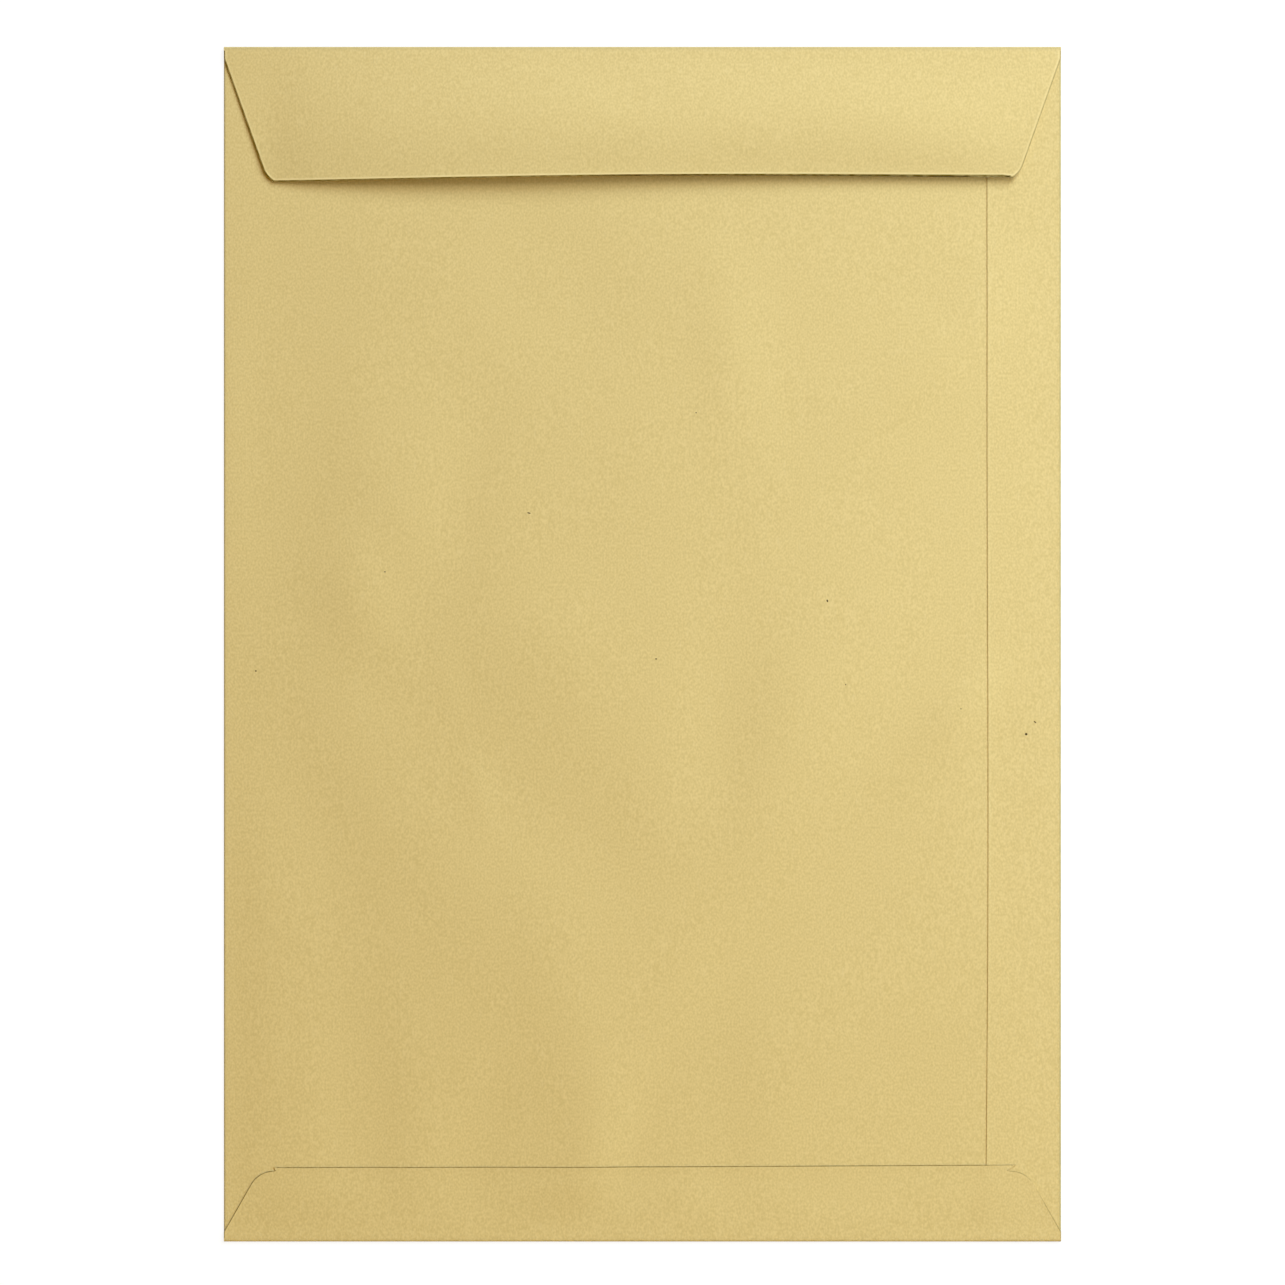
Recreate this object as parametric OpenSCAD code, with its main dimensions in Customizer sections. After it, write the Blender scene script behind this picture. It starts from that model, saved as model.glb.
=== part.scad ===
// Pocket envelope of kraft paper, lying on its front with its back and its top flap up.
// It is one sheet. The wide back panel is folded in from the left and the narrow seam flap
// from the right, and the seam flap is glued down on the panel. The bottom flap is folded up
// and glued over both. The top flap is folded down over the mouth and is left loose, so its
// free edge stands a little off the back.
// X runs across the envelope, Y from the bottom fold to the top fold, Z up from the front.

/* [Envelope] */
// Width between the two side folds
width = 228; // [180:0.5:330]
// Height between the bottom fold and the top fold
height = 325.4; // [220:0.1:460]

/* [Paper] */
// Thickness of the sheet
paper_t = 0.12; // [0.08:0.01:0.3]
// Clear space in the pocket beside its folds
pocket_gap = 0.3; // [0.2:0.05:2]

/* [Back] */
// Width of the seam flap, from the right fold to its visible edge
seam_w = 20.1; // [16:0.1:50]
// Distance from the right fold to the hidden edge of the wide back panel
seam_inset = 2.5; // [1:0.1:8]
// Distance from the bend of the top fold down to the cut edge of the back
mouth_drop = 2.3; // [1:0.1:20]
// Distance from the bend of the bottom fold up to the cut edge of the back
foot_clear = 0.8; // [0.5:0.1:5]
// Height that the middle of the wide back panel swells above its folds
swell_h = 1.2; // [0:0.1:8]
// Flat border of the wide back panel around its swell
swell_border = 9; // [3:0.5:30]
// Height of the soft waves that run down the swell
wave_h = 0.4; // [0:0.05:1.5]
// Number of those waves across the panel
wave_count = 3; // [1:1:5]

/* [Bottom flap] */
// Depth of the flap from its fold to the left end of its straight edge
bottom_left = 20.3; // [16:0.1:60]
// Depth of the flap from its fold to the right end of its straight edge
bottom_right = 21; // [16:0.1:60]
// Length of the side edges that run square from the fold
bottom_square = 2.7; // [2:0.1:6]
// Angle by which the side edges then slant in
bottom_slant = 29.6; // [10:0.1:45]
// Radius of the rounded corners
bottom_round = 7.2; // [3:0.1:10]
// Distance between the rounded corners' inner end and the straight edge
corner_step = 1; // [0.4:0.1:3]
// Length of the straight stretch that ends each rounded corner
corner_run = 1; // [0.4:0.1:4]
// Length of the paper horn that is left above the left corner
horn_left = 1; // [0.3:0.1:4]
// Length of the paper horn that is left above the right corner
horn_right = 2.5; // [0.3:0.1:4]

/* [Top flap] */
// Depth of the flap from its fold to the left end of its free edge
top_left = 36.8; // [20:0.1:80]
// Depth of the flap from its fold to the right end of its free edge
top_right = 35; // [20:0.1:80]
// Distance by which the middle of the free edge draws back towards the fold
top_bow = 1.1; // [0:0.1:4]
// Length of the side edges that run square from the fold
top_square = 3.2; // [3:0.1:8]
// Angle by which the side edges then slant in
top_slant = 19.6; // [8:0.1:35]
// Radius of the rounded shoulders
top_round = 6.8; // [3:0.1:10]
// Angle through which a shoulder turns before the free edge cuts it off
shoulder_turn = 40; // [20:1:50]
// Length of the tooth by which the right shoulder passes the free edge
tooth_l = 0.6; // [0.1:0.05:1.5]
// Width of that tooth
tooth_w = 1; // [0.5:0.1:3]
// Clear space between the seam and the flap at its fold
fold_clear = 0.2; // [0.1:0.05:1.5]
// Rise of the free edge at its left end
lift_left = 1; // [0:0.1:12]
// Rise of the free edge at its highest point
lift_high = 3; // [0:0.1:15]
// Rise of the free edge at its right end
lift_right = 1.5; // [0:0.1:12]
// Place of the highest point, measured from the middle line
lift_x = -34; // [-60:1:60]
// Share of the rise that comes from the slope at the fold, the rest from the flap's curl
lift_slope = 0.75; // [0.3:0.05:1]

/* [Hidden] */
paper_colour = [0.86, 0.78, 0.54];

half_w = width / 2;
half_h = height / 2;
seam_x = half_w - seam_w;

// Lower faces of the sheets that lie over the front panel, one on the next
panel_z = paper_t + pocket_gap;
seam_z = panel_z + paper_t;
over_z = seam_z + paper_t;

// Outer radius of each fold: half of what it wraps
left_r = seam_z / 2;
right_r = over_z / 2;
bottom_r = (over_z + paper_t) / 2;
top_r = (over_z + fold_clear + paper_t) / 2;

// Cut edges of the back
mouth_y = half_h - top_r - mouth_drop;
foot_y = -half_h + bottom_r + foot_clear;

// Depth by which the glued flap is pressed into the sheets under it
glue_bite = paper_t / 60;
// Width of the ramp by which the bottom flap climbs onto the seam flap
ramp_w = 2.5 * paper_t;
// Rise of the straight stretch that ends a rounded corner
corner_rise = corner_run / 10;

fold_steps = 10;
slant_steps = 5;
round_steps = 4;
flap_columns = 16;
swell_columns = 24;
swell_rows = 16;
// Share of the swell's length in which it rises at either end
swell_ramp = 0.35;
// Share of the swell's width and length that its sheet runs on into the flat panel
swell_lap = 0.005;

function mix(a, b, f) = a * (1 - f) + b * f;

function last(list) = list[len(list) - 1];

// Closed solid between two grids of points, given as rows of points. Seen from the first
// grid's side the columns run to the right and the rows run down.
module sheet(first, second) {
    rows = len(first);
    cols = len(first[0]);
    function at(side, row, col) = (side * rows + row) * cols + col;
    points = [for (grid = [first, second]) for (row = grid) each row];
    faces_first = [
        for (r = [0:rows - 2]) for (c = [0:cols - 2])
            [at(0, r, c), at(0, r, c + 1), at(0, r + 1, c + 1), at(0, r + 1, c)]
    ];
    faces_second = [
        for (r = [0:rows - 2]) for (c = [0:cols - 2])
            [at(1, r + 1, c), at(1, r + 1, c + 1), at(1, r, c + 1), at(1, r, c)]
    ];
    edges_across = [
        for (c = [0:cols - 2]) each [
            [at(0, 0, c + 1), at(0, 0, c), at(1, 0, c), at(1, 0, c + 1)],
            [at(0, rows - 1, c), at(0, rows - 1, c + 1), at(1, rows - 1, c + 1), at(1, rows - 1, c)]
        ]
    ];
    edges_down = [
        for (r = [0:rows - 2]) each [
            [at(0, r, 0), at(0, r + 1, 0), at(1, r + 1, 0), at(1, r, 0)],
            [at(0, r + 1, cols - 1), at(0, r, cols - 1), at(1, r, cols - 1), at(1, r + 1, cols - 1)]
        ]
    ];
    quads = concat(faces_first, faces_second, edges_across, edges_down);
    polyhedron(points, [for (q = quads) each [[q[0], q[1], q[2]], [q[0], q[2], q[3]]]]);
}

// One side edge of a flap as [inset, depth] points: slanted from the square stretch at the
// fold, then rounded through a turn until it reaches its full depth.
function flap_side(square_l, slant, round_r, turn, depth) =
    let(
        round_depth = round_r * (sin(slant + turn) - sin(slant)),
        slant_depth = depth - round_depth,
        slant_inset = (slant_depth - square_l) * tan(slant)
    )
    concat(
        [
            for (i = [0:slant_steps])
                [slant_inset * i / slant_steps, mix(square_l, slant_depth, i / slant_steps)]
        ],
        [
            for (i = [1:round_steps]) let(a = slant + turn * i / round_steps)
                [
                    slant_inset + round_r * (cos(slant) - cos(a)),
                    slant_depth + round_r * (sin(a) - sin(slant))
                ]
        ]
    );

function arc(cx, cz, r, from, to) = [
    for (i = [0:fold_steps]) let(a = mix(from, to, i / fold_steps))
        [cx + r * cos(a), cz + r * sin(a)]
];

// Section of the pocket across the envelope: the front panel with its two side folds, the
// wide back panel and the seam flap that is glued to it
module pocket_section() {
    left_x = -half_w + left_r;
    right_x = half_w - right_r;
    difference() {
        polygon(concat(
            arc(left_x, left_r, left_r, 90, 270),
            arc(right_x, right_r, right_r, -90, 90),
            [[seam_x, over_z], [seam_x, seam_z]]
        ));
        polygon(concat(
            arc(left_x, left_r, left_r - paper_t, 90, 270),
            arc(right_x, right_r, right_r - paper_t, -90, 90),
            [[half_w - seam_inset, seam_z], [half_w - seam_inset, panel_z]]
        ));
    }
}

// Sides of the swell in the wide back panel, clear of the folds and of the other flaps
swell_x0 = -half_w + swell_border;
swell_x1 = seam_x - swell_border;
swell_y0 = -half_h + max(bottom_left, bottom_right) + swell_border;
swell_y1 = half_h - max(top_left, top_right) - swell_border;

// Height of the swell at shares of its width and length, flat outside of it
function swell(u, v) =
    let(
        edge = min(v, 1 - v),
        across = u > 0 && u < 1 ? pow(sin(180 * u), 2) : 0,
        along = edge > 0 ? pow(sin(90 * min(1, edge / swell_ramp)), 2) : 0,
        wave = (1 - cos(360 * wave_count * u)) / 2
    )
    across * along * (swell_h + wave_h * wave);

function lapped_shares(count) =
    concat([-swell_lap], [for (i = [0:count]) i / count], [1 + swell_lap]);

function swell_grid(z) = [
    for (v = lapped_shares(swell_rows)) [
        for (u = lapped_shares(swell_columns))
            [mix(swell_x0, swell_x1, u), mix(swell_y1, swell_y0, v), z + swell(u, v)]
    ]
];

module front_panel() {
    translate([-half_w + left_r, -half_h + bottom_r, 0])
        cube([width - left_r - right_r, height - bottom_r - top_r, paper_t]);
}

module pocket() {
    difference() {
        translate([0, mouth_y, 0])
            rotate([90, 0, 0])
                linear_extrude(mouth_y - foot_y)
                    pocket_section();
        translate([swell_x0, swell_y0, panel_z - pocket_gap / 2])
            cube([swell_x1 - swell_x0, swell_y1 - swell_y0, paper_t + pocket_gap]);
    }
    sheet(swell_grid(seam_z), swell_grid(panel_z));
}

// Side edge of the bottom flap. The rounded corner stops short of the straight edge, which
// runs on past it and leaves a pointed horn.
function bottom_side(horn, depth) =
    let(
        corner_depth = min(bottom_left, bottom_right) - corner_step,
        side = flap_side(bottom_square, bottom_slant, bottom_round, 90 - bottom_slant, corner_depth),
        run_end = last(side) + [corner_run, corner_rise]
    )
    concat(side, [run_end, [run_end.x - horn, depth]]);

// Points of the bottom flap on its outer face (inside = 0) or its inner face (inside = 1)
function bottom_grid(inside) =
    let(
        left = bottom_side(horn_left, bottom_left),
        right = bottom_side(horn_right, bottom_right),
        levels = [seam_z, seam_z, over_z, over_z],
        skin = inside * paper_t,
        full = [-half_w, seam_x - ramp_w, seam_x, half_w]
    )
    concat(
        [[for (x = full) [x, foot_y, skin]]],
        [
            for (i = [0:fold_steps]) let(a = -90 + 180 * i / fold_steps) [
                for (j = [0:3])
                    let(r = (levels[j] + paper_t) / 2)
                    [full[j], -half_h + r - (r - skin) * cos(a), r + (r - skin) * sin(a)]
            ]
        ],
        [
            for (k = [0:len(left) - 1])
                let(
                    x0 = -half_w + left[k].x,
                    x1 = half_w - right[k].x,
                    xs = [x0, min(seam_x - ramp_w, x1 - 2 * ramp_w), min(seam_x, x1 - ramp_w), x1]
                )
                [
                    for (j = [0:3])
                        let(depth = mix(left[k].y, right[k].y, (xs[j] - x0) / (x1 - x0)))
                        [xs[j], -half_h + depth, levels[j] + paper_t - skin - inside * glue_bite]
                ]
        ]
    );

module bottom_flap() {
    sheet(bottom_grid(1), bottom_grid(0));
}

function top_side(depth) =
    flap_side(top_square, top_slant, top_round, shoulder_turn, depth);

// Ends of the free edge, and the mean depth of the flap
top_left_x = -half_w + last(top_side(top_left)).x;
top_right_x = half_w - last(top_side(top_right + tooth_l)).x;
top_depth = (top_left + top_right) / 2;

// Rise of the free edge at x: two half parabolas that meet at the highest point
function lift(x) =
    let(
        end_x = x < lift_x ? top_left_x : top_right_x,
        end_lift = x < lift_x ? lift_left : lift_right,
        far = min(1, (x - lift_x) / (end_x - lift_x))
    )
    mix(lift_high, end_lift, far * far);

// Share of the rise that is reached at a share of the flap's depth
function rise(f) = lift_slope * f + (1 - lift_slope) * f * f;

// Points of the top flap on its outer face (inside = 0) or its inner face (inside = 1)
function top_grid(inside) =
    let(
        left = top_side(top_left),
        right = top_side(top_right + tooth_l),
        rows = len(left),
        skin = inside * paper_t,
        tooth_f = 1 - tooth_w / (top_right_x - top_left_x),
        shares = concat([for (j = [0:flap_columns - 1]) j / flap_columns], [tooth_f, 1])
    )
    concat(
        [[for (f = shares) [mix(-half_w, half_w, f), mouth_y, skin]]],
        [
            for (i = [0:fold_steps]) [
                for (f = shares)
                    let(
                        x = mix(-half_w, half_w, f),
                        slope = atan(lift_slope * lift(x) / top_depth),
                        a = mix(-90, 90 - slope, i / fold_steps)
                    )
                    [x, half_h - top_r + (top_r - skin) * cos(a), top_r + (top_r - skin) * sin(a)]
            ]
        ],
        [
            for (k = [0:rows - 1]) [
                for (f = shares)
                    let(
                        x0 = -half_w + left[k].x,
                        x1 = half_w - right[k].x,
                        x = mix(x0, x1, f),
                        on_edge = k == rows - 1 && f < 1,
                        right_depth = on_edge ? top_right : right[k].y,
                        straight = mix(left[k].y, right_depth, f),
                        depth = straight * (1 - 4 * f * (1 - f) * top_bow / top_depth),
                        slope = atan(lift_slope * lift(x) / top_depth)
                    )
                    [
                        x,
                        half_h - depth - skin * sin(slope),
                        2 * top_r - skin * cos(slope) + lift(x) * rise(depth / top_depth)
                    ]
            ]
        ]
    );

module top_flap() {
    sheet(top_grid(0), top_grid(1));
}

module envelope() {
    color(paper_colour)
        union() {
            front_panel();
            pocket();
            bottom_flap();
            top_flap();
        }
}

envelope();
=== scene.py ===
"""Kraft paper envelope, dressed for the camera.

The envelope is one sheet of paper. This script builds that sheet as one closed mesh: the
front panel, the two side wings, the bottom flap and the top flap are grids of points that
share their borders, each point with a partner on the sheet's other face. Lengths are in
millimetres and angles in degrees until the mesh is made; Blender gets metres.
"""

import math

import bpy
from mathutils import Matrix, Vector, noise


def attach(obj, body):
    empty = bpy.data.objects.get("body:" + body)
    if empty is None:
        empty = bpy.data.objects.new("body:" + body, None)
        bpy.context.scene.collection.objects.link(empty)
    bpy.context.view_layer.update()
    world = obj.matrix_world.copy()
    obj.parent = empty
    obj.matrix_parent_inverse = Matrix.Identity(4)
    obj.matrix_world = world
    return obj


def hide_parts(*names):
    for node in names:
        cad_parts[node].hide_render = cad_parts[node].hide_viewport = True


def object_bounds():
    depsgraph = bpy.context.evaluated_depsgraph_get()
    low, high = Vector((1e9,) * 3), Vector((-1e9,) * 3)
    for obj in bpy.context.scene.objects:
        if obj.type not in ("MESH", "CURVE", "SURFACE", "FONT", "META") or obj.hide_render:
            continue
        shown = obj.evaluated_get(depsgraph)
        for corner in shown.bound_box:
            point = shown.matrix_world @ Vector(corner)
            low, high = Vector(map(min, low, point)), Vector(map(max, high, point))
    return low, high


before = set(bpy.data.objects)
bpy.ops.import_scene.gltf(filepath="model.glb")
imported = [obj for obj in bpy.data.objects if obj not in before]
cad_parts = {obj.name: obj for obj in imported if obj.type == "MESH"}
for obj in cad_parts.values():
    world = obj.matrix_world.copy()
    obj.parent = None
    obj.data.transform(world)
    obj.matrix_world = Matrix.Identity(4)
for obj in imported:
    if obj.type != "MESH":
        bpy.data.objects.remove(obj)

cad_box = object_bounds()
MM = 0.001


# Camera, straight above the envelope. The picture shows frame_w at the height of its centre.

frame_w = 350.0
frame_centre = (0.01, 0.46, 0.5)
lens_mm = 150.0
sensor_mm = 36.0
camera_near = 10.0
camera_h = frame_w * lens_mm / sensor_mm


def make_camera():
    data = bpy.data.cameras.new("camera")
    data.lens = lens_mm
    data.sensor_width = sensor_mm
    data.clip_start = camera_near * MM
    camera = bpy.data.objects.new("camera", data)
    camera.location = (Vector(frame_centre) + Vector((0, 0, camera_h))) * MM
    bpy.context.collection.objects.link(camera)
    bpy.context.scene.camera = camera


make_camera()


# Sizes of the folded sheet, as in the part's source. The two outer ones come from the frame.


def cad_size(axis):
    """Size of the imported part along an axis, to 0.1 mm."""
    return round((cad_box[1][axis] - cad_box[0][axis]) / MM, 1)


width = cad_size(0)
height = cad_size(1)
paper_t = 0.12
pocket_gap = 0.3

seam_w = 20.1
seam_inset = 2.5
mouth_drop = 2.3
foot_clear = 0.8

swell_h = 1.2
swell_border = 9.0
swell_ramp = 0.35

bottom_left = 20.3
bottom_right = 21.0
bottom_square = 2.7
bottom_slant = 29.6
bottom_round = 7.2
corner_step = 1.0
corner_run = 1.0
corner_rise = 0.1
horn_left = 1.0
horn_right = 2.5

top_left = 36.8
top_right = 35.0
top_square = 3.2
top_slant = 19.6
top_round = 6.8
shoulder_turn = 40.0
tooth_l = 0.6
tooth_w = 1.0
fold_clear = 0.2
lift_left = 1.0
lift_high = 3.0
lift_right = 1.5
lift_x = -34.0

half_w = width / 2
half_h = height / 2
seam_x = half_w - seam_w
panel_z = paper_t + pocket_gap
seam_z = panel_z + paper_t
over_z = seam_z + paper_t
left_r = seam_z / 2
right_r = over_z / 2
bottom_r = (over_z + paper_t) / 2
top_r = (over_z + fold_clear + paper_t) / 2
mouth_y = half_h - top_r - mouth_drop
foot_y = -half_h + bottom_r + foot_clear
top_depth = (top_left + top_right) / 2
corner_depth = min(bottom_left, bottom_right) - corner_step


# What the paper adds to those sizes: in the back, at the seam, in the bottom flap and in the
# top flap

# Clear space that keeps glued faces apart
contact = 0.01
# Height at which the air inside keeps the back, and how far it can sink, with the softness
# of that limit
air = 0.3
sink_limit = -0.2
sink_soft = 0.15
# Widths over which the back comes up from the left, the right and the bottom fold and from
# under the top flap
left_ramp = 12.0
right_ramp = 19.0
foot_ramp = 14.0
mouth_ramp = 28.0
# Strips beside the side folds and the bottom fold that stay flat, and the distance by which
# the back's relief reaches under the top flap
side_flat = 1.5
foot_flat = 2.5
mouth_reach = 1.2

# Rise of the seam flap's glued edge, and the width of the strip that rises with it
seam_lift = 0.06
seam_lift_w = 3.0
# Sideways wander of that edge: to the right around one height of the envelope, and to the
# left from another one down
seam_wander = 0.28
seam_belly_y = -45.0
seam_belly_l = 60.0
seam_foot_y = -90.0
seam_foot_l = 70.0

# Rise of the bottom flap's glued edge, and the width of the strip that rises with it
bottom_lift = 0.08
bottom_lift_w = 3.5
# Width over which the bottom flap climbs onto the seam flap
climb_w = 3.5
# Distance by which the middle of its straight edge draws back towards its fold
bottom_bow = 0.2
# Distance by which the left end of its rounded corner stops short
run_trim = 0.5
# Shares of the height of the little horns, at the ends of its straight edge, at which they
# have points
horn_shares = (0.12, 0.5, 0.88, 1.0)
# The steps below the horns show no line of the cut edge on this width, save this much at
# their foot and at their head
step_w = 0.8
step_foot = 0.15
step_head = 0.02

# Distances by which the top flap's left corner and the rest of its free edge are cut
# further in or, below 0, out
corner_trim = 0.12
edge_trim = -0.12
# Bow of its free edge, flatter towards the corners than the part's
edge_bow = 0.92
edge_bow_power = 1.5
# Height that the top flap gains by its curl before the free edge, the share of the flap over
# which it is still straight, and the width over which the curl grows from the left side on
flap_curl = 0.9
straight_share = 0.4
curl_grow = 50.0
# Height that its free edge gives up for that curl, in the middle and at its corners
curl_drop = 0.2
left_drop = 0.55
right_drop = 0.25
# Share of its right half over which it comes down from its highest point
drop_share = 0.45
# Depth to which its left side settles onto the layers below, where that starts, and the
# widths over which it comes in
side_settle = 0.22
settle_x = -88.0
settle_ramp = 18.0
settle_depth = 10.0
# Widths over which its soft ridges die out towards its fold and its free edge, and towards
# its sides, and the strip at the free edge that stays without them
ridge_fade = 8.0
ridge_side_fade = 14.0
ridge_flat = 0.3


# What the paper shows of its folds, and the painted shade and painted highlights along its cut
# edges

# Marks of the folds, where the left one's is 1. The right one's is stronger, as painted shade on
# the fold that faces the lamps
right_fold_and_shade_mark = 1.35
top_mark = 0.7
bottom_mark = 0.3
# Share by which a mark fades from the middle of a fold to both of its sides, the mark that
# is left beside the fold, and its width
fold_fade = 0.35
beside_mark = 0.6
beside_w = 0.4
# Darkening of the top flap's lower half, towards its free edge, and the width over which it
# comes up
flap_darkening = 0.06
flap_darkening_ramp = 12.0
# Painted shade along the cut edges, where the top flap's is 1: the seam flap's, and the bottom
# flap's on the left and on the right of the seam
seam_edge_shade = 0.06
panel_edge_shade = 0.85
over_seam_edge_shade = 0.5
# Middle and size of the stretch on the bottom flap's right slant that shows no painted shade
edge_shade_gap = (107.0, -148.0)
edge_shade_gap_r = 4.0
# Breadth by which the top flap's painted edge shade is wider than a glued edge's, its darkness
# on the right side, which faces the lamps, and the width over which that comes in
bare_edge_shade_w = 0.1
side_edge_shade = 0.5
edge_shade_ramp = 3.0
# Painted highlight beside a glued edge, and beside the top flap's sides and free edge, where the
# cut edge catches the light
glued_edge_highlight = 0.12
side_edge_highlight = 0.5
free_edge_highlight = 0.85
# Distance above the free edge at which the painted highlight starts to grow paler, and the width
# over which it does
highlight_start = 3.0
highlight_ramp = 2.0


# The mesh

# Widest spacing of the mesh, and the finer steps beside an edge
mesh_step = 2.4
edge_steps = (0.14, 0.3, 0.7, 1.5)
# Parts into which a fold and the square, slanted and rounded sides of a flap are divided
fold_steps = 10
square_steps = 3
slant_steps = 12
round_steps = 10
# Digits after the point, in mm, in which two points agree when they are one
merge_digits = 6
# Distance from the cut edges beyond which the paper shows nothing of them
cut_reach = 3.0
# Half the stretch over which the top flap's slope is measured
slope_step = 0.5


def mix(a, b, f):
    return a * (1 - f) + b * f


def smooth(f):
    f = min(1.0, max(0.0, f))
    return f * f * (3 - 2 * f)


def arch(f):
    """Parabola that is 0 at both ends and 1 in the middle."""
    return 4 * f * (1 - f)


def sin(a):
    return math.sin(math.radians(a))


def cos(a):
    return math.cos(math.radians(a))


def steps_between(a, b):
    """Places from a to b, both included: close together beside the ends, even between them."""
    sign = 1 if b > a else -1
    near = [a] + [a + sign * s for s in edge_steps]
    far = [b - sign * s for s in reversed(edge_steps)] + [b]
    count = math.ceil(abs(far[0] - near[-1]) / mesh_step)
    between = [mix(near[-1], far[0], i / count) for i in range(1, count)]
    return near + between + far


# Height of the back

swell_x0 = -half_w + swell_border
swell_x1 = seam_x - swell_border
swell_y0 = -half_h + max(bottom_left, bottom_right) + swell_border
swell_y1 = half_h - max(top_left, top_right) - swell_border


def swell(x, y):
    u = (x - swell_x0) / (swell_x1 - swell_x0)
    v = (swell_y1 - y) / (swell_y1 - swell_y0)
    if not 0 < u < 1 or not 0 < v < 1:
        return 0.0
    across = sin(180 * u) ** 2
    along = sin(90 * min(1, min(v, 1 - v) / swell_ramp)) ** 2
    return across * along * swell_h


def crease(x, y, at, length, breadth, rise, turn=0.0):
    """Soft ridge, or with a negative rise a soft valley. Unturned it runs along Y. Its
    middle, length, breadth, rise and turn are written in this order below."""
    dx = x - at[0]
    dy = y - at[1]
    along = dy * cos(turn) - dx * sin(turn)
    across = dx * cos(turn) + dy * sin(turn)
    return rise * math.exp(-((along / length) ** 2) - (across / breadth) ** 2)


def left_creases(x, y):
    ridge = crease(x, y, (-76, 19), 28, 13, 0.80, -12)
    edge_valley = crease(x, y, (-88, -53), 50, 15, -0.36, 30)
    foot_valley = crease(x, y, (-77, -125), 33, 10, -0.60, 4)
    flap_valley = crease(x, y, (-47, -147), 29, 10, -0.56, -14)
    large = ridge + edge_valley + foot_valley + flap_valley
    inner_dent = crease(x, y, (-50, 34), 26, 9, -0.38, -10)
    ridge_dent = crease(x, y, (-69, 21), 22, 8, -0.25, 26)
    ridge_foot_dent = crease(x, y, (-81, -3), 18, 9, -0.21, 44)
    fine_ridge = crease(x, y, (-44.5, -40), 10, 3.8, 0.24, 16)
    fine_ridge_top = crease(x, y, (-53, -12), 15, 3.6, 0.12, 14)
    small = inner_dent + ridge_dent + ridge_foot_dent + fine_ridge + fine_ridge_top
    return large + small


def upper_creases(x, y):
    left_hollow = crease(x, y, (-104, 63), 50, 20, -0.80, -5)
    left_valley = crease(x, y, (-43, 64), 50, 20, -0.50, 45)
    valley = crease(x, y, (-26, 99), 27, 19, -0.80, 17)
    ridge = crease(x, y, (23, 83), 32, 10, 0.49, 10)
    right_ridge = crease(x, y, (74, 74), 38, 9, 0.65, -50)
    right_dent = crease(x, y, (83, 89), 8, 4.5, -0.15, 39)
    return left_hollow + left_valley + valley + ridge + right_ridge + right_dent


def middle_creases(x, y):
    ridge = crease(x, y, (-27, 0), 20, 15, 0.33, 52)
    slanted_valley = crease(x, y, (-22, -50), 46, 20, -0.71, 52)
    valley = crease(x, y, (21, -26), 30, 12, -0.70, -6)
    return ridge + slanted_valley + valley


def right_creases(x, y):
    ridge = crease(x, y, (45, -15), 50, 19, 0.80, -31)
    small_ridge = crease(x, y, (86, -18), 15, 5.8, 0.66, -41)
    seam_valley = crease(x, y, (103, -27), 50, 11, -0.22, -2)
    lower_valley = crease(x, y, (46, -69), 37, 19, -0.80, -42)
    return ridge + small_ridge + seam_valley + lower_valley


def foot_creases(x, y):
    ridge = crease(x, y, (-17, -115), 42, 13, 0.44, 13)
    end_ridge = crease(x, y, (-15, -141), 22, 9, 0.48, -18)
    valley = crease(x, y, (5, -131), 50, 11, -0.80, -27)
    right_valley = crease(x, y, (60, -134), 36, 20, -0.80, -33)
    flap_valley = crease(x, y, (22, -140), 26, 8, -0.49, 1)
    return ridge + end_ridge + valley + right_valley + flap_valley


def handling(x, y):
    """Soft ridges and valleys that handling has left in the back."""
    above = upper_creases(x, y) + middle_creases(x, y)
    return above + left_creases(x, y) + right_creases(x, y) + foot_creases(x, y)


def streaks(x, y, across, along, rise, seed):
    return rise * noise.noise(Vector((x / across, y / along, seed)))


def undulation(x, y):
    """Faint streaks along the grain of the paper."""
    broad = streaks(x, y, across=19, along=70, rise=0.06, seed=3.1)
    narrow = streaks(x, y, across=8, along=26, rise=0.02, seed=7.7)
    return broad + narrow


def held_up(h):
    """Height limited softly from below, where the front panel holds the back up."""
    return (h + sink_limit + math.hypot(h - sink_limit, sink_soft)) / 2


def relief(x, y):
    """Height of the back above its flat level. It dies out towards every fold and under the
    top flap."""
    side_ramp = left_ramp if x < 0 else right_ramp
    side = smooth((half_w - side_flat - abs(x)) / side_ramp)
    foot = smooth((y + half_h - foot_flat) / foot_ramp)
    mouth = smooth((half_h - top_depth + mouth_reach - y) / mouth_ramp)
    free = air + swell(x, y) + handling(x, y) + undulation(x, y)
    return held_up(side * foot * mouth * free) - held_up(0)


def seam_shift(y):
    """Distance by which the seam flap's edge wanders from a straight line."""
    belly = math.exp(-(((y - seam_belly_y) / seam_belly_l) ** 2))
    foot = smooth((seam_foot_y - y) / seam_foot_l)
    return seam_wander * (belly - foot)


# The sheet's mesh


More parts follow.
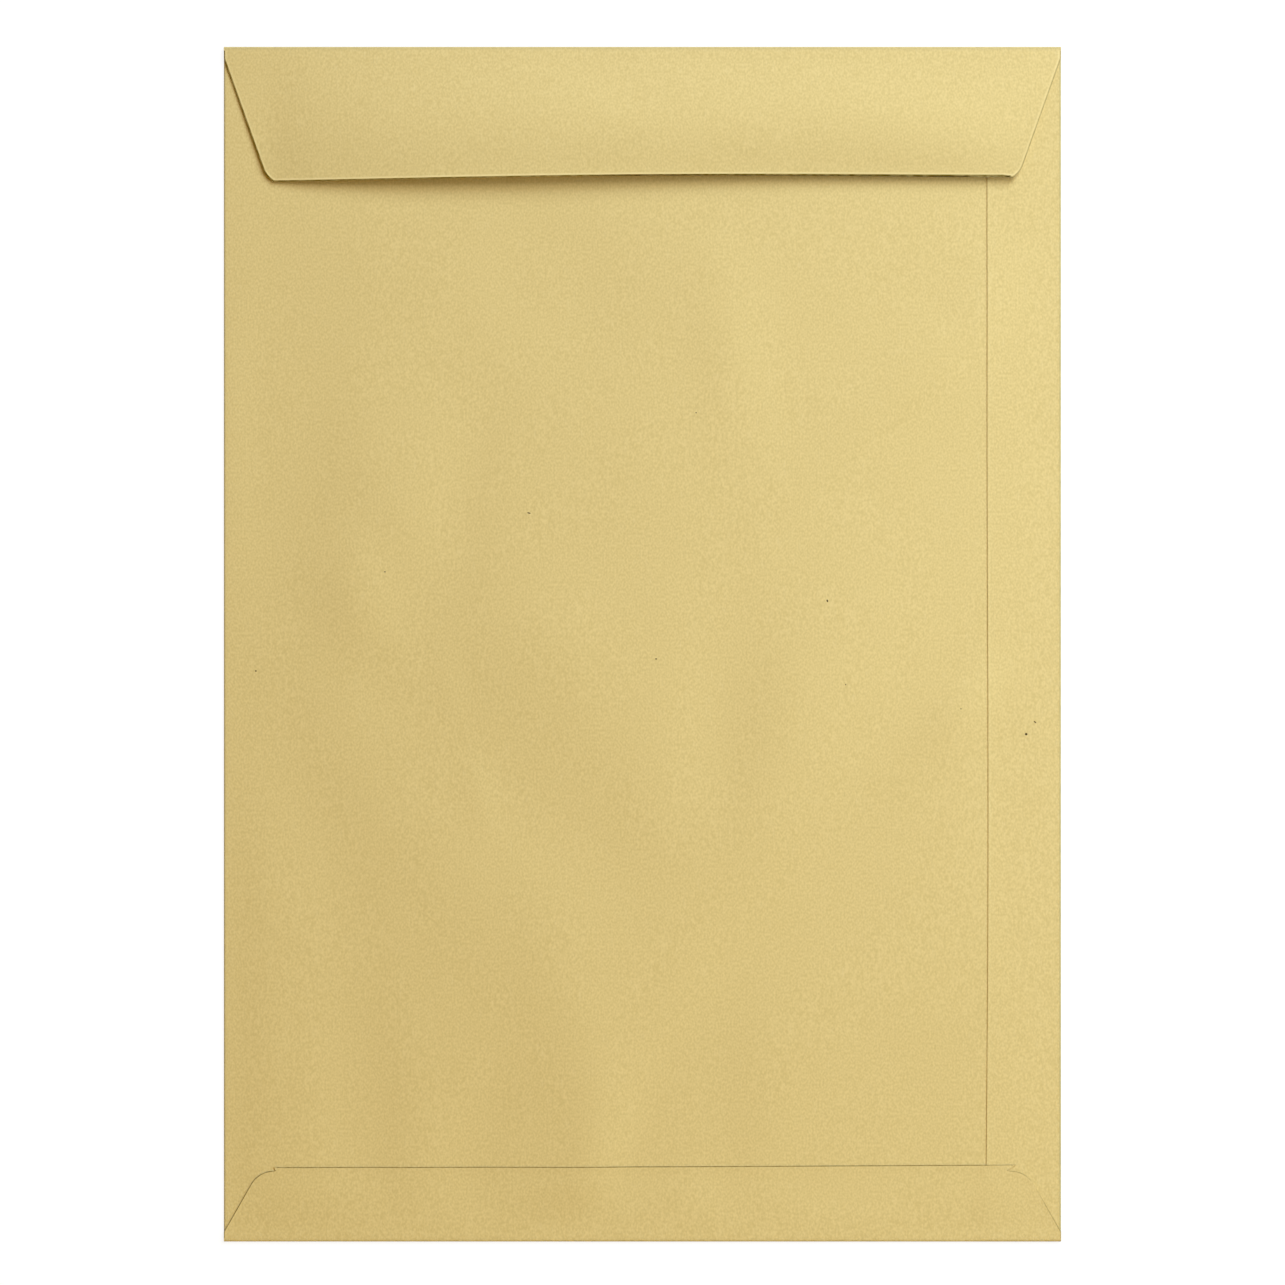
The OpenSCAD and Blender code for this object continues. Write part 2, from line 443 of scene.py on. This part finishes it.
class Sheet:
    """Closed mesh of a bent sheet. A point is a pair: one place on each face of the paper."""

    def __init__(self):
        self.index = {}
        self.outer = []
        self.inner = []
        self.marks = []
        self.quads = []

    def point(self, outer, inner, fold=0.0, cut=cut_reach, line=0.0, rim=0.0):
        """Fold is 1 on a fold, and cut is the distance to the cut edge. Line tells how dark the
        painted shade along that edge is, and rim how strong the painted highlight beside it."""
        key = tuple(round(c, merge_digits) for c in (*outer, *inner))
        if key not in self.index:
            self.index[key] = len(self.outer)
            self.outer.append(outer)
            self.inner.append(inner)
            self.marks.append((fold, cut, line, rim))
        return self.index[key]

    def grid(self, rows):
        """Quads between rows of points. Seen from the outer face, rows run down and columns
        run to the right."""
        for upper, lower in zip(rows, rows[1:]):
            for i in range(len(upper) - 1):
                self.quads.append((lower[i], lower[i + 1], upper[i + 1], upper[i]))

    def cut_sides(self):
        """Sides that belong to one quad only, in that quad's direction."""
        sides = set()
        for quad in self.quads:
            for i in range(4):
                sides.add((quad[i], quad[(i + 1) % 4]))
        return sorted((a, b) for a, b in sides if (b, a) not in sides)

    def mesh(self, name):
        n = len(self.outer)
        cuts = self.cut_sides()
        faces = list(self.quads)
        faces += [tuple(n + i for i in reversed(quad)) for quad in self.quads]
        smooth_faces = len(faces)
        faces += [(b, a, n + a, n + b) for a, b in cuts]
        mesh = bpy.data.meshes.new(name)
        mesh.from_pydata([Vector(p) * MM for p in self.outer + self.inner], [], faces)
        for polygon in mesh.polygons:
            polygon.use_smooth = polygon.index < smooth_faces
        sharp = {tuple(sorted(side)) for side in cuts}
        sharp |= {(a + n, b + n) for a, b in sharp}
        for edge in mesh.edges:
            edge.use_edge_sharp = tuple(sorted(edge.vertices)) in sharp
        for i, mark in enumerate(("fold", "cut", "line", "rim")):
            layer = mesh.attributes.new(mark, "FLOAT", "POINT")
            layer.data.foreach_set("value", [marks[i] for marks in self.marks] * 2)
        mesh.update()
        return mesh


# Columns of the front panel. The flaps have the same columns and one more at either side.

front_left = -half_w + left_r
front_right = half_w - right_r
front_columns = steps_between(front_left, front_right)
flap_shares = [(x + half_w) / width for x in (-half_w, *front_columns, half_w)]


def fold_mark(f):
    """Mark at a share of a fold: 1 in its middle, less towards its sides."""
    return 1 - fold_fade * abs(2 * f - 1)


def beside_fold(d):
    """Mark at a distance from the side of a fold."""
    return beside_mark * smooth(1 - d / beside_w)


# Pocket: the wide back panel, the left fold, the front, the right fold and the seam flap


def back_row(sheet, y):
    row = []
    for x in steps_between(half_w - seam_inset, front_left)[:-1]:
        h = relief(x, y)
        outer = (x, y, seam_z + h)
        inner = (x, y, panel_z + h)
        row.append(sheet.point(outer, inner, beside_fold(x - front_left)))
    return row


def side_fold_row(sheet, y, x, r, start, mark):
    """Half turn around (x, r) from the angle start on."""
    row = []
    for i in range(fold_steps + 1):
        f = i / fold_steps
        a = start + 180 * f
        outer = (x + r * cos(a), y, r + r * sin(a))
        inner_r = r - paper_t
        inner = (x + inner_r * cos(a), y, r + inner_r * sin(a))
        row.append(sheet.point(outer, inner, mark * fold_mark(f)))
    return row


def front_row(sheet, y):
    return [sheet.point((x, y, 0.0), (x, y, paper_t)) for x in front_columns[1:-1]]


def seam_row(sheet, y):
    row = []
    for straight_x in steps_between(front_right, seam_x)[1:]:
        from_fold = (front_right - straight_x) / (front_right - seam_x)
        x = straight_x + seam_shift(y) * from_fold
        d = straight_x - seam_x
        rise = contact + seam_lift * max(0, 1 - d / seam_lift_w) ** 2
        z = seam_z + relief(x, y) + rise
        fold = beside_fold(front_right - straight_x)
        row.append(sheet.point((x, y, z + paper_t), (x, y, z), fold, d, seam_edge_shade, glued_edge_highlight))
    return row


def add_pocket(sheet):
    rows = []
    for y in steps_between(mouth_y, foot_y):
        row = back_row(sheet, y)
        row += side_fold_row(sheet, y, front_left, left_r, 90, 1.0)
        row += front_row(sheet, y)
        # The right fold's mark carries painted shade as well
        row += side_fold_row(sheet, y, front_right, right_r, -90, right_fold_and_shade_mark)
        row += seam_row(sheet, y)
        # From the hidden edge on, the columns run to the left as the outer face shows them
        rows.append(list(reversed(row)))
    sheet.grid(rows)


# What both flaps share


def lead_row(sheet, y):
    """Row of the front panel from which a flap starts, at its full width."""
    places = [mix(-half_w, half_w, f) for f in flap_shares]
    return [sheet.point((x, y, 0.0), (x, y, paper_t)) for x in places]


def flap_side(square_l, slant, round_r, turn, depth):
    """Side edge of a flap as (inset, depth): square, then slanted, then rounded."""
    round_depth = round_r * (sin(slant + turn) - sin(slant))
    slant_depth = depth - round_depth
    slant_inset = (slant_depth - square_l) * math.tan(math.radians(slant))
    side = [(0.0, square_l * i / square_steps) for i in range(1, square_steps)]
    for i in range(slant_steps + 1):
        f = i / slant_steps
        side.append((slant_inset * f, mix(square_l, slant_depth, f)))
    for i in range(1, round_steps + 1):
        a = slant + turn * i / round_steps
        inset = slant_inset + round_r * (cos(slant) - cos(a))
        side.append((inset, slant_depth + round_r * (sin(a) - sin(slant))))
    return side


def distance_to(place, outline):
    """Distance from a place to a chain of straight cuts."""
    x, y = place
    nearest = math.inf
    for (ax, ay), (bx, by) in zip(outline, outline[1:]):
        dx, dy = bx - ax, by - ay
        f = ((x - ax) * dx + (y - ay) * dy) / (dx * dx + dy * dy)
        f = min(1.0, max(0.0, f))
        nearest = min(nearest, math.hypot(x - ax - dx * f, y - ay - dy * f))
    return nearest


def cut_outline(places):
    """Cut edge of a flap whose rows of places run from its fold to its free edge."""
    left = [row[0] for row in places]
    right = [row[-1] for row in places]
    return left + places[-1][1:-1] + right[::-1]


# Bottom flap


def over_seam(x):
    """0 where the bottom flap lies on the wide panel, 1 where it lies on the seam flap."""
    return smooth((x - seam_x + climb_w) / climb_w)


def bottom_edge_shade(x, y):
    """Painted shade along the flap's cut edge: fainter on the right of the seam, and gone in the
    middle of the right slant."""
    if x < seam_x:
        return panel_edge_shade
    return over_seam_edge_shade * (1 - crease(x, y, edge_shade_gap, edge_shade_gap_r, edge_shade_gap_r, 1.0))


def on_step(places, x):
    """Whether a place in a row is beside the short step at that end of the straight edge."""
    end_x, end_y = places[0] if x < 0 else places[-1]
    straight_depth = bottom_left if x < 0 else bottom_right
    between = corner_depth + step_foot < end_y + half_h < straight_depth - step_head
    return between and abs(x - end_x) < step_w


def bottom_side(run, horn, depth):
    """The rounded corner stops short of the straight edge, which runs on past it."""
    side = flap_side(bottom_square, bottom_slant, bottom_round, 90 - bottom_slant, corner_depth)
    inset, corner_end = side[-1]
    run_inset = inset + run
    run_depth = corner_end + corner_rise
    side.append((run_inset, run_depth))
    for f in horn_shares:
        side.append((run_inset - horn * f, mix(run_depth, depth, f)))
    return side


def bottom_places():
    left = bottom_side(corner_run - run_trim, horn_left - run_trim, bottom_left)
    right = bottom_side(corner_run, horn_right, bottom_right)
    rows = []
    for (inset0, depth0), (inset1, depth1) in zip(left, right):
        row = []
        for f in flap_shares:
            x = mix(-half_w + inset0, half_w - inset1, f)
            bow = bottom_bow * arch(f)
            row.append((x, -half_h + mix(depth0, depth1, f) * (1 - bow / bottom_left)))
        rows.append(row)
    return rows


def bottom_flap_row(sheet, places, outline):
    row = []
    for x, y in places:
        d = distance_to((x, y), outline)
        line = 0.0 if on_step(places, x) else bottom_edge_shade(x, y)
        level = mix(seam_z, over_z + contact, over_seam(x)) + contact
        z = level + relief(x, y) + bottom_lift * max(0, 1 - d / bottom_lift_w) ** 2
        row.append(sheet.point((x, y, z + paper_t), (x, y, z), 0.0, d, line, glued_edge_highlight))
    return row


def bottom_fold_row(sheet, a):
    """Row of the bottom fold, which turns from -90 under the front to 90 on the flap."""
    row = []
    for f in flap_shares:
        x = mix(-half_w, half_w, f)
        r = (mix(seam_z, over_z, over_seam(x)) + paper_t) / 2
        inner_r = r - paper_t
        outer = (x, -half_h + r - r * cos(a), r + r * sin(a))
        inner = (x, -half_h + r - inner_r * cos(a), r + inner_r * sin(a))
        row.append(sheet.point(outer, inner, bottom_mark * fold_mark((a + 90) / 180)))
    return row


def add_bottom_flap(sheet):
    places = bottom_places()
    outline = cut_outline(places)
    rows = [bottom_flap_row(sheet, row, outline) for row in reversed(places)]
    for i in range(fold_steps + 1):
        rows.append(bottom_fold_row(sheet, mix(90, -90, i / fold_steps)))
    rows.append(lead_row(sheet, foot_y))
    sheet.grid(rows)


# Top flap


def top_side(depth):
    return flap_side(top_square, top_slant, top_round, shoulder_turn, depth)


top_left_x = -half_w + top_side(top_left)[-1][0]
top_right_x = half_w - top_side(top_right + tooth_l)[-1][0]


def lift(x):
    """Rise of the free edge: a parabola down to the left, a soft hill to the right."""
    high = lift_high - curl_drop
    if x < lift_x:
        far = min(1.0, (x - lift_x) / (top_left_x - lift_x))
        return mix(high, lift_left - left_drop, far * far)
    far = (x - lift_x) / (top_right_x - lift_x)
    return mix(lift_right - right_drop, high, math.exp(-((far / drop_share) ** 2)))


def curl(x):
    return flap_curl * smooth((x + half_w) / curl_grow)


def flap_handling(x, depth):
    """Soft ridges along the top flap. They die out towards its edges."""
    middle_ridge = crease(x, -depth, (7, -19), 12, 59, 0.68)
    right_ridge = crease(x, -depth, (71, -22), 12, 37, 0.42, -11)
    hollow = crease(x, -depth, (-5, -12), 6, 13, -0.22, -17)
    slant_inset = depth * math.tan(math.radians(top_slant))
    near_fold = smooth(depth / ridge_fade)
    near_edge = smooth((top_depth - ridge_flat - depth) / ridge_fade)
    near_side = smooth((half_w - abs(x) - slant_inset) / ridge_side_fade)
    return near_fold * near_edge * near_side * (middle_ridge + right_ridge + hollow)


def top_height(x, depth):
    """Height of the top flap's outer face."""
    f = depth / top_depth
    bent = max(0, f - straight_share) / (1 - straight_share)
    rise = lift(x) * f + curl(x) * (f - bent * bent)
    settled = side_settle * smooth((settle_x - x) / settle_ramp) * smooth(depth / settle_depth)
    return 2 * top_r + rise - settled + flap_handling(x, depth)


def flap_slope(x, depth):
    """Angle at which the top flap's outer face rises towards its free edge."""
    rise = top_height(x, depth + slope_step) - top_height(x, depth - slope_step)
    return math.degrees(math.atan(rise / (2 * slope_step)))


def top_places():
    left = top_side(top_left - corner_trim)
    right = top_side(top_right - edge_trim + tooth_l)
    tooth_f = 1 - tooth_w / (top_right_x - top_left_x)
    rows = []
    for k, ((inset0, depth0), (inset1, depth1)) in enumerate(zip(left, right)):
        row = []
        for f in flap_shares:
            x = mix(-half_w + inset0, half_w - inset1, f)
            straight = mix(depth0, depth1, f)
            if k == len(left) - 1:
                tooth = tooth_l * max(0, f - tooth_f) / (1 - tooth_f)
                straight = mix(depth0, top_right - edge_trim, f) + tooth
            bow = edge_bow * arch(f) ** edge_bow_power
            row.append((x, half_h - straight * (1 - bow / top_depth)))
        rows.append(row)
    return rows


def top_edge_highlight(depth):
    """Painted highlight beside the cut edge: most along the free edge."""
    return mix(side_edge_highlight, free_edge_highlight, smooth((depth - top_depth + highlight_start) / highlight_ramp))


def top_edge_shade(x):
    """Painted shade along the flap's cut edge: fainter on the right side, which faces the lamps.
    """
    return mix(1.0, side_edge_shade, smooth((x - top_right_x) / edge_shade_ramp + 0.5))


def top_flap_row(sheet, places, outline):
    row = []
    for x, y in places:
        depth = half_h - y
        z = top_height(x, depth)
        slope = flap_slope(x, depth)
        # What lies higher looks larger, and the flap's flat sizes are the ones that show
        seen = 1 - (z - seam_z) / camera_h
        outer = (x * seen, y * seen, z)
        inner = (x * seen, y * seen - paper_t * sin(slope), z - paper_t * cos(slope))
        d = max(0.0, distance_to((x, y), outline) - bare_edge_shade_w)
        darkening = flap_darkening * smooth((depth - top_depth / 2) / flap_darkening_ramp)
        row.append(sheet.point(outer, inner, darkening, d, top_edge_shade(x), top_edge_highlight(depth)))
    return row


def top_fold_row(sheet, share):
    row = []
    for f in flap_shares:
        x = mix(-half_w, half_w, f)
        slope = math.degrees(math.atan((lift(x) + curl(x)) / top_depth))
        a = mix(-90, 90 - slope, share)
        inner_r = top_r - paper_t
        outer = (x, half_h - top_r + top_r * cos(a), top_r + top_r * sin(a))
        inner = (x, half_h - top_r + inner_r * cos(a), top_r + inner_r * sin(a))
        row.append(sheet.point(outer, inner, top_mark * fold_mark(share)))
    return row


def add_top_flap(sheet):
    places = top_places()
    outline = cut_outline(places)
    rows = [lead_row(sheet, mouth_y)]
    for i in range(fold_steps + 1):
        rows.append(top_fold_row(sheet, i / fold_steps))
    rows += [top_flap_row(sheet, row, outline) for row in places]
    sheet.grid(rows)


def make_envelope():
    sheet = Sheet()
    add_pocket(sheet)
    add_bottom_flap(sheet)
    add_top_flap(sheet)
    piece = bpy.data.objects.new("paper_envelope", sheet.mesh("paper_envelope"))
    bpy.context.collection.objects.link(piece)
    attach(piece, "root")
    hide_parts("envelope")
    return piece


envelope = make_envelope()


# Nodes

white = (1, 1, 1, 1)


def make_node(tree, kind, inputs, **properties):
    """Adds a node. An input is a value or another node's output, by its name or number."""
    made = tree.nodes.new(kind)
    for name, value in properties.items():
        setattr(made, name, value)
    for name, value in inputs.items():
        if isinstance(value, bpy.types.NodeSocket):
            tree.links.new(value, made.inputs[name])
        else:
            made.inputs[name].default_value = value
    return made


def math_of(tree, operation, *values):
    inputs = dict(enumerate(values))
    return make_node(tree, "ShaderNodeMath", inputs, operation=operation).outputs[0]


def ranged(tree, value, low, high, to_low, to_high):
    """Value mapped from low..high to to_low..to_high, and held there."""
    inputs = {0: value, 1: low, 2: high, 3: to_low, 4: to_high}
    return make_node(tree, "ShaderNodeMapRange", inputs).outputs[0]


def mix_colour(tree, factor, a, b):
    """Mix of two colours, which are inputs 6 and 7 and output 2 of a Mix node."""
    inputs = {0: factor, 6: a, 7: b}
    return make_node(tree, "ShaderNodeMix", inputs, data_type="RGBA").outputs[2]


def noise_of(tree, vector, scale, detail=2.0, roughness=0.5):
    inputs = {"Vector": vector, "Scale": scale, "Detail": detail, "Roughness": roughness}
    return make_node(tree, "ShaderNodeTexNoise", inputs).outputs[0]


def mapped(tree, vector, place=(0, 0, 0), turn=0.0, scale=(1, 1, 1), kind="POINT"):
    inputs = {
        "Vector": vector,
        "Location": place,
        "Rotation": (0, 0, math.radians(turn)),
        "Scale": scale,
    }
    return make_node(tree, "ShaderNodeMapping", inputs, vector_type=kind).outputs[0]


def attribute(tree, name):
    return make_node(tree, "ShaderNodeAttribute", {}, attribute_name=name).outputs["Fac"]


# Kraft paper

kraft_dark = (0.648, 0.499, 0.190, 1)
kraft_light = (0.746, 0.587, 0.244, 1)
kraft_fibre = (0.52, 0.38, 0.13, 1)
kraft_pale_fibre = (0.80, 0.67, 0.35, 1)
# Colour of the fold marks, with painted shade on the right fold
kraft_fold = (0.40, 0.33, 0.13, 1)
# Painted shade along the cut edges
kraft_edge_shade = (0.145, 0.093, 0.004, 1)
# Painted highlight beside the cut edges
kraft_edge_highlight = (0.85, 0.69, 0.31, 1)
speck_colour = (0.03, 0.013, 0.0, 1)

# Scales of the noises, per metre: the grain, its mottle, its clouds and the paper's cockle,
# all but the clouds stretched along Y, and the fibres, across and along and in depth
fine_scale = 2100
mottle_scale = 700
cloud_scale = 60
cockle_scale = 110
grain_stretch = (1, 0.72, 1)
fibre_scale = (2600, 330, 400)
# Shares of the grain, the mottle and the clouds in the paper's tone, and how strongly the
# fibres show in its colour and in its bump
fine_share = 0.90
mottle_share = 0.05
cloud_share = 0.05
fibre_share = 0.22
fibre_bump = 0.6
# Stretches of a noise's values that make the whole change, in the tone and in the rest
tone_range = (0.25, 0.75)
noise_range = (0.3, 0.7)
# Least share of a fold's or an edge's colour where the mottle makes it uneven
uneven_least = 0.75
# Share of the folds' colour where their mark is full
fold_share = 0.8
# Least and most roughness, and the specular level
roughness_low = 0.70
roughness_high = 0.84
specular = 0.1
# Depths of the grain's and the cockle's bump, in mm, and their strengths
grain_depth = 0.02
grain_strength = 0.55
cockle_depth = 0.06
cockle_strength = 0.6

# Distances from the cut edge, in mm, between which its painted shade line ends, the painted
# highlight starts and that highlight ends
edge_shade_end = (0.13, 0.31)
highlight_from = (0.16, 0.32)
highlight_end = (0.5, 0.9)

# Heights between which the specks come in, in mm, so that the front shows none, and a
# speck's soft border, as shares of its size
back_from = (0.2, 0.3)
speck_border = (0.55, 1.1)


def fibres(tree, place, turn, seed, low, high):
    """Thin strands along one direction: 1 where a noise passes from low to high."""
    vector = mapped(tree, place, (seed, seed, 0), turn, fibre_scale)
    strand = noise_of(tree, vector, 1.0, detail=1.0)
    return ranged(tree, strand, low, high, 0, 1)


def fibre_shares(tree, place):
    """How strongly the dark and the pale fibres show."""
    dark = fibres(tree, place, turn=12, seed=3, low=0.66, high=0.80)
    slanted = fibres(tree, place, turn=74, seed=11, low=0.67, high=0.82)
    pale = fibres(tree, place, turn=-35, seed=23, low=0.66, high=0.80)
    dark = math_of(tree, "MULTIPLY", math_of(tree, "MAXIMUM", dark, slanted), fibre_share)
    return dark, math_of(tree, "MULTIPLY", pale, fibre_share)


def speck(tree, place, x, y, length, breadth, turn=0.0):
    """1 inside a small oval, in mm, at any height, and 0 outside of it."""
    any_height = 1000
    scale = (length / 2 * MM, breadth / 2 * MM, any_height)
    local = mapped(tree, place, (x * MM, y * MM, 0), turn, scale, "TEXTURE")
    far = make_node(tree, "ShaderNodeVectorMath", {0: local}, operation="LENGTH")
    return ranged(tree, far.outputs["Value"], *speck_border, 1, 0)


def specks(tree, place):
    """The few bits of bark and dirt in the sheet's back, by their places and sizes."""
    all_specks = (
        speck(tree, place, -30.9, 35.7, 1.1, 0.38, -12),
        speck(tree, place, -70.1, 19.7, 0.46, 0.40),
        speck(tree, place, 50.3, 11.8, 0.85, 0.5, -75),
        speck(tree, place, 55.3, -11.0, 0.44, 0.34, 70),
        speck(tree, place, 3.7, -4.0, 0.5, 0.46),
        speck(tree, place, -105.3, -7.3, 0.54, 0.46),
        speck(tree, place, 104.5, -24.5, 0.8, 0.76),
        speck(tree, place, 106.9, -21.2, 0.95, 0.36, -40),
        speck(tree, place, 86.7, -17.6, 0.4, 0.3),
        speck(tree, place, 14.6, 63.0, 0.44, 0.38),
    )
    any_speck = all_specks[0]
    for one in all_specks[1:]:
        any_speck = math_of(tree, "MAXIMUM", any_speck, one)
    z = make_node(tree, "ShaderNodeSeparateXYZ", {0: place}).outputs[2]
    low, high = back_from
    on_back = ranged(tree, z, low * MM, high * MM, 0, 1)
    return math_of(tree, "MULTIPLY", any_speck, on_back)


def cut_edges(tree, colour, uneven):
    """Painted shade as a dark line on the cut itself, and a painted highlight as a pale strip
    beside it.
    """
    cut = attribute(tree, "cut")
    past_line = ranged(tree, cut, *highlight_from, 0, 1)
    rim = math_of(tree, "MULTIPLY", past_line, ranged(tree, cut, *highlight_end, 1, 0))
    rim = math_of(tree, "MULTIPLY", rim, attribute(tree, "rim"))
    colour = mix_colour(tree, math_of(tree, "MULTIPLY", rim, uneven), colour, kraft_edge_highlight)
    line = ranged(tree, cut, *edge_shade_end, 1, 0)
    line = math_of(tree, "MULTIPLY", line, attribute(tree, "line"))
    return mix_colour(tree, math_of(tree, "MULTIPLY", line, uneven), colour, kraft_edge_shade)


def kraft_tone(tree, place, fine, mottle):
    """The paper's own colour, from its grain, mottle and clouds."""
    cloud = noise_of(tree, place, cloud_scale, detail=0.0)
    tone = math_of(tree, "MULTIPLY", cloud, cloud_share)
    tone = math_of(tree, "MULTIPLY_ADD", mottle, mottle_share, tone)
    tone = math_of(tree, "MULTIPLY_ADD", fine, fine_share, tone)
    return mix_colour(tree, ranged(tree, tone, *tone_range, 0, 1), kraft_dark, kraft_light)


def kraft_bump(tree, along_grain, fine, strands):
    """Normal of the grain with its fibres, on the broader cockle of the paper."""
    height = math_of(tree, "MULTIPLY_ADD", strands, fibre_bump, fine)
    grain = {"Strength": grain_strength, "Distance": grain_depth * MM, "Height": height}
    normal = make_node(tree, "ShaderNodeBump", grain).outputs[0]
    height = noise_of(tree, along_grain, cockle_scale, detail=0.0)
    cockle = {"Strength": cockle_strength, "Distance": cockle_depth * MM, "Height": height}
    cockle["Normal"] = normal
    return make_node(tree, "ShaderNodeBump", cockle).outputs[0]


def kraft_material():
    material = bpy.data.materials.new("kraft_paper")
    material.use_nodes = True
    tree = material.node_tree
    shader = tree.nodes["Principled BSDF"]
    place = make_node(tree, "ShaderNodeTexCoord", {}).outputs["Object"]
    along_grain = mapped(tree, place, scale=grain_stretch)
    fine = noise_of(tree, along_grain, fine_scale, detail=0.0)
    mottle = noise_of(tree, along_grain, mottle_scale, detail=0.0)
    colour = kraft_tone(tree, place, fine, mottle)
    dark, pale = fibre_shares(tree, place)
    colour = mix_colour(tree, dark, colour, kraft_fibre)
    colour = mix_colour(tree, pale, colour, kraft_pale_fibre)

    uneven = ranged(tree, mottle, *noise_range, uneven_least, 1.0)
    # Marks of the folds, with painted shade on the right fold, and the darkening of the top
    # flap's lower half
    fold = math_of(tree, "MULTIPLY", attribute(tree, "fold"), uneven)
    fold = math_of(tree, "MULTIPLY", fold, fold_share)
    colour = mix_colour(tree, fold, colour, kraft_fold)
    # Painted shade along the cut edges and painted highlights beside them
    colour = cut_edges(tree, colour, uneven)
    colour = mix_colour(tree, specks(tree, place), colour, speck_colour)
    tree.links.new(colour, shader.inputs["Base Color"])

    roughness = ranged(tree, fine, *noise_range, roughness_low, roughness_high)
    tree.links.new(roughness, shader.inputs["Roughness"])
    shader.inputs["Specular IOR Level"].default_value = specular
    strands = math_of(tree, "SUBTRACT", pale, dark)
    normal = kraft_bump(tree, along_grain, fine, strands)
    tree.links.new(normal, shader.inputs["Normal"])
    return material


envelope.data.materials.append(kraft_material())


# Floor, which the camera sees as white except in the envelope's shadow

floor_half = 2000.0
floor_drop = 0.1
floor_colour = (0.9, 0.9, 0.9, 1)
# Strength of the white that the camera sees on it, and that white's share
floor_white = 1.09
floor_share = 0.8


def seen_directly(tree):
    """1 for the camera's rays and those that a mirror or glass sends on, else 0."""
    path = tree.nodes.new("ShaderNodeLightPath")
    seen = math_of(tree, "MAXIMUM", path.outputs["Is Camera Ray"], path.outputs["Is Glossy Ray"])
    return math_of(tree, "MAXIMUM", seen, path.outputs["Is Transmission Ray"])


def floor_material():
    material = bpy.data.materials.new("studio_floor")
    material.use_nodes = True
    tree = material.node_tree
    tree.nodes.remove(tree.nodes["Principled BSDF"])
    matt = make_node(tree, "ShaderNodeBsdfDiffuse", {"Color": floor_colour})
    glow = make_node(tree, "ShaderNodeEmission", {"Color": white, "Strength": floor_white})
    share = math_of(tree, "MULTIPLY", seen_directly(tree), floor_share)
    inputs = {0: share, 1: matt.outputs[0], 2: glow.outputs[0]}
    mixed = make_node(tree, "ShaderNodeMixShader", inputs)
    output = tree.nodes["Material Output"]
    tree.links.new(mixed.outputs[0], output.inputs["Surface"])
    return material


def make_floor():
    half = floor_half * MM
    z = -floor_drop * MM
    corners = [(-half, -half, z), (half, -half, z), (half, half, z), (-half, half, z)]
    mesh = bpy.data.meshes.new("floor")
    mesh.from_pydata(corners, [], [(0, 1, 2, 3)])
    floor = bpy.data.objects.new("floor", mesh)
    bpy.context.collection.objects.link(floor)
    mesh.materials.append(floor_material())


make_floor()


# Lamps: two soft ones from the upper right, a weaker one from the right, a warm one from
# beyond the envelope's foot, and an even world. Their distances and sizes are in metres.

world_colour = (1.0, 0.60, 0.24, 1)
world_strength = 0.125


def soft_lamp(name, azimuth, elevation, distance, size, power, colour):
    """Square area lamp that points at the envelope. The azimuth turns from X to Y."""
    data = bpy.data.lights.new(name, "AREA")
    data.shape = "SQUARE"
    data.size = size
    data.energy = power
    data.color = colour
    lamp = bpy.data.objects.new(name, data)
    level = cos(elevation)
    away = Vector((level * cos(azimuth), level * sin(azimuth), sin(elevation)))
    lamp.location = away * distance
    lamp.rotation_euler = away.to_track_quat("Z", "Y").to_euler()
    lamp.visible_camera = False
    bpy.context.collection.objects.link(lamp)


def make_lamps():
    soft_lamp("low_key_lamp", azimuth=58, elevation=28, distance=2.5, size=1.0,
              power=61.2, colour=(0.653, 0.785, 1.0))
    soft_lamp("high_key_lamp", azimuth=58, elevation=51, distance=2.5, size=1.0,
              power=26.1, colour=(0.883, 0.90, 1.0))
    soft_lamp("side_lamp", azimuth=8, elevation=28, distance=0.65, size=0.26,
              power=2.18, colour=(0.62, 0.79, 1.0))
    soft_lamp("fill_lamp", azimuth=-90, elevation=45, distance=1.4, size=0.63,
              power=4.7, colour=(1.0, 0.68, 0.03))


def make_world():
    world = bpy.data.worlds.new("studio")
    world.use_nodes = True
    tree = world.node_tree
    even = tree.nodes["Background"]
    even.inputs["Color"].default_value = world_colour
    even.inputs["Strength"].default_value = world_strength
    bright = make_node(tree, "ShaderNodeBackground", {"Color": white, "Strength": 1.0})
    inputs = {0: seen_directly(tree), 1: even.outputs[0], 2: bright.outputs[0]}
    mixed = make_node(tree, "ShaderNodeMixShader", inputs)
    tree.links.new(mixed.outputs[0], tree.nodes["World Output"].inputs["Surface"])
    bpy.context.scene.world = world


make_lamps()
make_world()
bpy.context.scene.view_settings.view_transform = "Standard"
